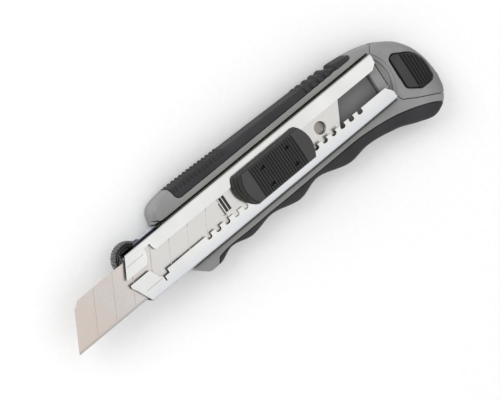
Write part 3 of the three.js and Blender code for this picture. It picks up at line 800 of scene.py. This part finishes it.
def latch_button():
    """A smooth band in front with a step behind it, then ribs across the rest."""
    low, high = box_mm("latch_button")
    axes = x, y, z = grid(low, high, 0.15)
    flat = outline_field(button_outline(), x, y)
    crown = BUTTON_TOP - 0.012 * (x - 79.5) ** 2 - 0.006 * (y + 6) ** 2
    ribbed = fade(x, 77.2, 77.6)
    groove = 0.5 + 0.5 * np.cos(2 * math.pi * (x - BUTTON_GROOVE_X) / BUTTON_RIB_PITCH)
    crown = crown - ribbed * (0.15 + 0.85 * groove**0.7)
    return moulded("latch_pad", both(both(flat, z - crown, 0.7), low[2] - z, 0.2), axes, 0.4)


PARTING_LINE_DEPTH = 1.2


def end_block():
    """The block behind the magazine, with the parting line along its back edge."""
    low, high = box_mm("end_block")
    axes = x, y, z = grid(low, high, 0.16)
    block = both(between(x, low[0], high[0]), between(y, low[1], high[1]), 0.3)
    block = both(block, between(z, low[2], high[2]), 0.3)
    line = both(between(x, high[0] - 0.95, high[0] - 0.35), high[2] - PARTING_LINE_DEPTH - z)
    return moulded("magazine_stop", without(block, line, 0.12), axes)


finish_piece(end_cap(), CAP, "cap", "grey_plastic", "end_cap")
# The button's look paints light on its top and shade in its grooves.
BUTTON_LOOK = ribbed_plastic("ribbed_button", BUTTON_GROOVE_X + BUTTON_RIB_PITCH / 2, BUTTON_RIB_PITCH,
                             (77.3, 90), (14.2, 14.8), 0.024)
finish_piece(latch_button(), BUTTON_LOOK, "latch", "black_plastic", "latch_button")
finish_piece(end_block(), GREY, "cap", "grey_plastic", "end_block")

# ---- slider ----


def slider_outline(front, back, half_width, bow, skew=0.0):
    """A bar with bowed ends; skew moves the front bow's crown to the spine side."""
    ts = np.linspace(-1, 1, 25)
    ahead = [(front + bow * (t + skew) ** 2, SLIDER_Y - half_width * t) for t in ts]
    behind = [(back - BACK_BOW * t * t, SLIDER_Y + half_width * t) for t in ts]
    return ahead + behind


BASE_LOW, BASE_HIGH = box_mm("slider_base")
PAD_LOW, PAD_HIGH = box_mm("slider_cap")
RIB_START, RIB_END, RIB_PITCH, RIB_DEPTH = -9.9, 14.4, 1.28, 0.6
BACK_BOW = 2.4
PAD_TOP = 22.95
LAYER_TOPS = (19.2, 20.1)
LEAF_Z = (20.12, 20.33)
WINDOW_PLACES = [(x, y) for x in (-4, 9.5) for y in (-3.6, 4.4)]
WINDOW_HALF_LENGTH, WINDOW_HALF_WIDTH, WINDOW_FLOOR = 1.15, 0.65, 20.9


def slider_base():
    """Two layers over the stem that runs between the channel's lips."""
    axes = x, y, z = grid(BASE_LOW, BASE_HIGH, 0.16)
    lower = outline_field(slider_outline(-18.6, 21.2, 7.7, 3.6, 0.2), x, y)
    upper = outline_field(slider_outline(-17.5, 21.1, 7.5, 3.1, 0.17), x, y)
    stem = np.maximum(between(x, -12.5, 15.5), between(y, -2.4, 4.8))
    base = both(lower, between(z, 18.3, LAYER_TOPS[0]), 0.25)
    base = either(base, both(upper, between(z, 18.9, LAYER_TOPS[1]), 0.25), 0.1)
    return moulded("slider_bed", either(base, both(stem, between(z, 17.3, 18.5), 0.1)), axes, 0.6)


def slider_leaf():
    """The thin spring plate that shows between the slider's layers."""
    plate = prism("slider_leaf", slider_outline(-17.2, 20.9, 7.3, 2.8, 0.15), *LEAF_Z)
    return soften(plate, 0.05)


def slider_pad():
    """The thumb pad: a rim, and a ribbed crown over it with four windows."""
    axes = x, y, z = grid(PAD_LOW, PAD_HIGH, 0.13)
    lower = outline_field(slider_outline(-16.8, 21.0, 7.4, 2.6, 0.12), x, y)
    upper = outline_field(slider_outline(-15.3, 20.8, 7.0, 2.3), x, y)
    crown = PAD_TOP - 0.35 * ((y - SLIDER_Y) / 7) ** 2
    ribbed = fade(x, RIB_START - 0.2, RIB_START + 0.1) * (1 - fade(x, RIB_END, RIB_END + 0.3))
    groove = 0.5 - 0.5 * np.cos(2 * math.pi * (x - RIB_START) / RIB_PITCH)
    crown = crown - RIB_DEPTH * ribbed * groove**0.6 - 0.9 * fade(x, 14.8, 21)
    crown = crown - 0.7 * fade(-x, 10.2, 15.3)
    pad = both(upper, z - crown, 0.35)
    pad = either(both(lower, between(z, 20.35, 21.5), 0.25), both(pad, 21.2 - z), 0.15)
    for window_x, window_y in WINDOW_PLACES:
        along = between(x, window_x - WINDOW_HALF_LENGTH, window_x + WINDOW_HALF_LENGTH)
        across = between(y, window_y - WINDOW_HALF_WIDTH, window_y + WINDOW_HALF_WIDTH)
        pad = without(pad, both(both(along, across), WINDOW_FLOOR - z))
    return moulded("slider_thumb_pad", pad, axes)


INSERT_PLACES_X = (-24.95, -23.35)
INSERT_HALF_WIDTH = 0.57
INSERT_Y = (-1.95, 4.55)
INSERT_Z = (16.68, 16.95)


def carrier_insert(name, x):
    """A dark bar that shows in one of the blade carrier's two slots."""
    left, right = x - INSERT_HALF_WIDTH, x + INSERT_HALF_WIDTH
    near, far = INSERT_Y
    bar = prism(name, [(left, near), (right, near), (right, far), (left, far)], *INSERT_Z)
    return soften(bar, 0.05)


FOLLOWER_DISC_RADIUS, FOLLOWER_DISC_DEPTH, FOLLOWER_DISC_RISE = 2.4, 0.4, 0.04


def follower_disc():
    """The flush steel disc seen on the follower through the holes of the spare blades."""
    centre = (box_mm("spare_blade_1")[0][0] + BLADE_HOLE_X, 0)
    top = box_mm("magazine_follower")[1][2] + FOLLOWER_DISC_RISE
    outline = arc(centre, FOLLOWER_DISC_RADIUS, 0, 350, 35)
    return soften(prism("follower_disc", outline, top - FOLLOWER_DISC_DEPTH, top), 0.03)


for number, insert_x in enumerate(INSERT_PLACES_X, 1):
    insert = carrier_insert(f"carrier_insert_{number}", insert_x)
    finish_piece(insert, BLACK, "carriage", "black_plastic")
finish_piece(follower_disc(), DULL, "magazine_stack", "blade_steel")
finish_piece(slider_base(), BLACK, "carriage", "black_plastic", "slider_base")
finish_piece(slider_leaf(), SPRING, "carriage", "spring_steel")
# The pad's look paints light on its top and shade in its grooves.
PAD_LOOK = ribbed_plastic("ribbed_pad", RIB_START, RIB_PITCH, (RIB_START, RIB_END), (21.6, 22.0), 0.034)
finish_piece(slider_pad(), PAD_LOOK, "carriage", "black_plastic", "slider_cap")

# ---- steel channel ----


def rounded_box(name, low, high, radius):
    """A long bar along X with rounded corners in section."""
    corners = [
        *arc((high[1] - radius, low[2] + radius), radius, -90, 0, 8),
        *arc((high[1] - radius, high[2] - radius), radius, 0, 90, 8),
        *arc((low[1] + radius, high[2] - radius), radius, 90, 180, 8),
        *arc((low[1] + radius, low[2] + radius), radius, 180, 270, 8),
    ]
    bar = prism(name, corners, low[0], high[0])
    # The prism stands along Z: its outline becomes Y and Z, and its height X.
    for vertex in bar.data.vertices:
        y, z, x = vertex.co
        vertex.co = (x, y, z)
    return bar


BEND_RADIUS = 0.8
CREASES = [((-73.7, 6.9), (-65.0, 6.9)), ((-72.6, -5.9), (-64.0, -5.9))]
CREASE_WIDTH, CREASE_DEPTH = 0.5, 0.22


def channel_shell():
    """The pressed channel, its bends rounded and the nose tabs creased."""
    piece = from_cad("channel_shell", "channel")
    margin = np.array([5, 0, 0])
    bends = rounded_box("bends", CHANNEL_LOW - margin, CHANNEL_HIGH + margin, BEND_RADIUS)
    cut(piece, [bends], "INTERSECT")
    top = CHANNEL_HIGH[2]
    floor_z = top - CREASE_DEPTH
    cut(piece, [groove_cutter("crease", a, b, CREASE_WIDTH, floor_z, top + 0.05) for a, b in CREASES])
    return soften(piece, 0.1)


finish_piece(channel_shell(), CHROME, "housing", "chrome_steel", "channel")

# ---- blades ----

BLADE_LOW, BLADE_HIGH = box_mm("blade")
BLADE_SLANT = (BLADE_HIGH[1] - BLADE_LOW[1]) / math.tan(math.radians(60))
SEGMENTS, SEGMENT_PITCH = 8, 10
SCORE_WIDTH, SCORE_DEPTH = 0.34, 0.14


def scored_blade(name, node):
    """Break lines cut at sixty degrees, one for each segment."""
    low, high = box_mm(node)
    piece = from_cad(name, node)
    top = high[2]
    lines = []
    for segment in range(1, SEGMENTS + 1):
        x = low[0] + SEGMENT_PITCH * segment
        start = (x - 0.3, low[1] - 0.5)
        end = (x + BLADE_SLANT + 0.3, high[1] + 0.5)
        lines.append(groove_cutter("score", start, end, SCORE_WIDTH, top - SCORE_DEPTH, top + 0.03))
    cut(piece, lines)
    return soften(piece, 0.03, 1)


finish_piece(scored_blade("scored_blade", "blade"), BLADE, "carriage", "blade_steel", "blade")

# ---- clamp wheel ----


WHEEL_RIM = (WHEEL_HIGH[0] - WHEEL_LOW[0]) / 2
WHEEL_BORE = 1.58
KNURLS, WHEEL_STEPS, KNURL_DEPTH = 40, 320, 0.28


def knurled_wheel():
    """A turned wheel with a knurled rim, a ring groove and a raised hub."""
    low, high, rim = WHEEL_LOW[2], WHEEL_HIGH[2], WHEEL_RIM
    profile = [
        (WHEEL_BORE, low), (rim - 0.8, low), (rim - 0.25, low + 0.25), (rim, low + 0.6), (rim, low + 1.5),
        (rim, high - 1.9), (rim, high - 1.3), (rim - 0.25, high - 0.8), (rim - 0.95, high - 0.3),
        (rim - 1.15, high - 0.3), (rim - 1.25, high - 0.9), (rim - 1.75, high - 0.9),
        (rim - 1.85, high - 0.1), (rim - 2.35, high - 0.1), (rim - 2.45, high - 0.7),
        (rim - 2.75, high - 0.7), (rim - 2.9, high - 0.25), (1.9, high - 0.25),
        (WHEEL_BORE, high - 0.45),
    ]
    points = []
    for k in range(WHEEL_STEPS):
        angle = 2 * math.pi * k / WHEEL_STEPS
        notch = KNURL_DEPTH * (0.5 - 0.5 * math.cos(KNURLS * angle)) ** 0.7
        for r, z in profile:
            cut_in = notch if r > rim - 1.0 else 0
            points.append((WHEEL_CENTRE[0] + (r - cut_in) * math.cos(angle),
                           WHEEL_CENTRE[1] + (r - cut_in) * math.sin(angle), z))
    n = len(profile)
    faces = []
    for k in range(WHEEL_STEPS):
        after = (k + 1) % WHEEL_STEPS
        for i in range(n):
            j = (i + 1) % n
            faces.append((k * n + i, after * n + i, after * n + j, k * n + j))
    return even_shading(add_object("knurled_wheel", points, faces), 70)


WHEEL = knurled_plastic("knurled_plastic", WHEEL_CENTRE, WHEEL_RIM)
finish_piece(knurled_wheel(), WHEEL, "wheel", "black_plastic", "clamp_wheel")

# ---- CAD nodes that keep their shape ----

KEPT = {
    "cap_hinge_pin": (ZINC, 0.15),
    "latch_spring": (SPRING, 0),
    "spare_blade_1": (BLADE, 0.03),
    "spare_blade_2": (BLADE, 0.03),
    "spare_blade_3": (BLADE, 0.03),
    "magazine_follower": (DARK, 0.1),
    "magazine_spring": (SPRING, 0.03),
    "blade_carrier": (BLADE, 0.05),
    "ratchet_spring": (SPRING, 0.05),
    "nose_bracket": (ZINC, 0.3),
    "clamp_stud": (ZINC, 0.2),
    "clamp_shoe": (ZINC, 0.2),
    **{f"channel_rivet_{k}": (ZINC, 0.08) for k in (1, 2)},
    **{f"housing_screw_{k}": (ZINC, 0.08) for k in (1, 2, 3, 4)},
}
for name, (look, edge) in KEPT.items():
    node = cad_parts[name]
    node.data.materials.clear()
    node.data.materials.append(look)
    if edge:
        soften(node, edge)

# ---- studio ----


def floor():
    """A large sheet that stays level under the knife."""
    half = 4000
    signs = ((-1, -1), (1, -1), (1, 1), (-1, 1))
    corners = [(half * x, half * y, FLOOR_Z) for x, y in signs]
    sheet = add_object("floor", corners, [(0, 1, 2, 3)])
    look = Look("floor_paper")
    fibre = look.noise(400, 3)
    look.finish(look.ramp(fibre, (0.3, (0.9, 0.9, 0.9)), (0.7, (0.92, 0.92, 0.92))),
                look.spread(fibre, 0.85, 0.95), look.bump(fibre, 0.02, 0.1))
    sheet.data.materials.append(look.material)


def area_light(name, place, aim, size, power):
    data = bpy.data.lights.new(name, "AREA")
    data.shape = "DISK"
    data.size = size
    data.energy = power
    lamp = bpy.data.objects.new(name, data)
    bpy.context.scene.collection.objects.link(lamp)
    lamp.location = place
    lamp.rotation_mode = "QUATERNION"
    lamp.rotation_quaternion = (Vector(aim) - Vector(place)).to_track_quat("-Z", "Y")


floor()
area_light("key", (-0.75, 1.05, 0.95), (0, 0, 0), 0.9, 9)

# A soft dome, brighter overhead than at the horizon.
world = bpy.data.worlds.new("studio")
world.use_nodes = True
nodes, links = world.node_tree.nodes, world.node_tree.links
toward = nodes.new("ShaderNodeTexCoord")
split = nodes.new("ShaderNodeSeparateXYZ")
dome = nodes.new("ShaderNodeMapRange")
dome.inputs["To Min"].default_value = 0.6
dome.inputs["To Max"].default_value = 1.1
links.new(toward.outputs["Generated"], split.inputs["Vector"])
links.new(split.outputs["Z"], dome.inputs["Value"])
links.new(dome.outputs["Result"], nodes["Background"].inputs["Strength"])
nodes["Background"].inputs["Color"].default_value = (1, 1, 1, 1)
bpy.context.scene.world = world
bpy.context.scene.view_settings.view_transform = "Standard"

# ---- camera, at the photograph's angle ----

CAMERA_PLACE = Vector((-0.40757, 0.29397, 1.06347))
CAMERA_AIM = Vector((-0.01409, -0.00439, 0.0167))
CAMERA_ROLL = math.radians(90.3)

data = bpy.data.cameras.new("camera")
data.lens = 205.83
data.sensor_width = 36
data.clip_end = 50
camera = bpy.data.objects.new("camera", data)
bpy.context.scene.collection.objects.link(camera)
camera.location = CAMERA_PLACE
camera.rotation_mode = "QUATERNION"
level = (CAMERA_AIM - CAMERA_PLACE).to_track_quat("-Z", "Y")
camera.rotation_quaternion = level @ Quaternion((0, 0, 1), CAMERA_ROLL)
bpy.context.scene.camera = camera
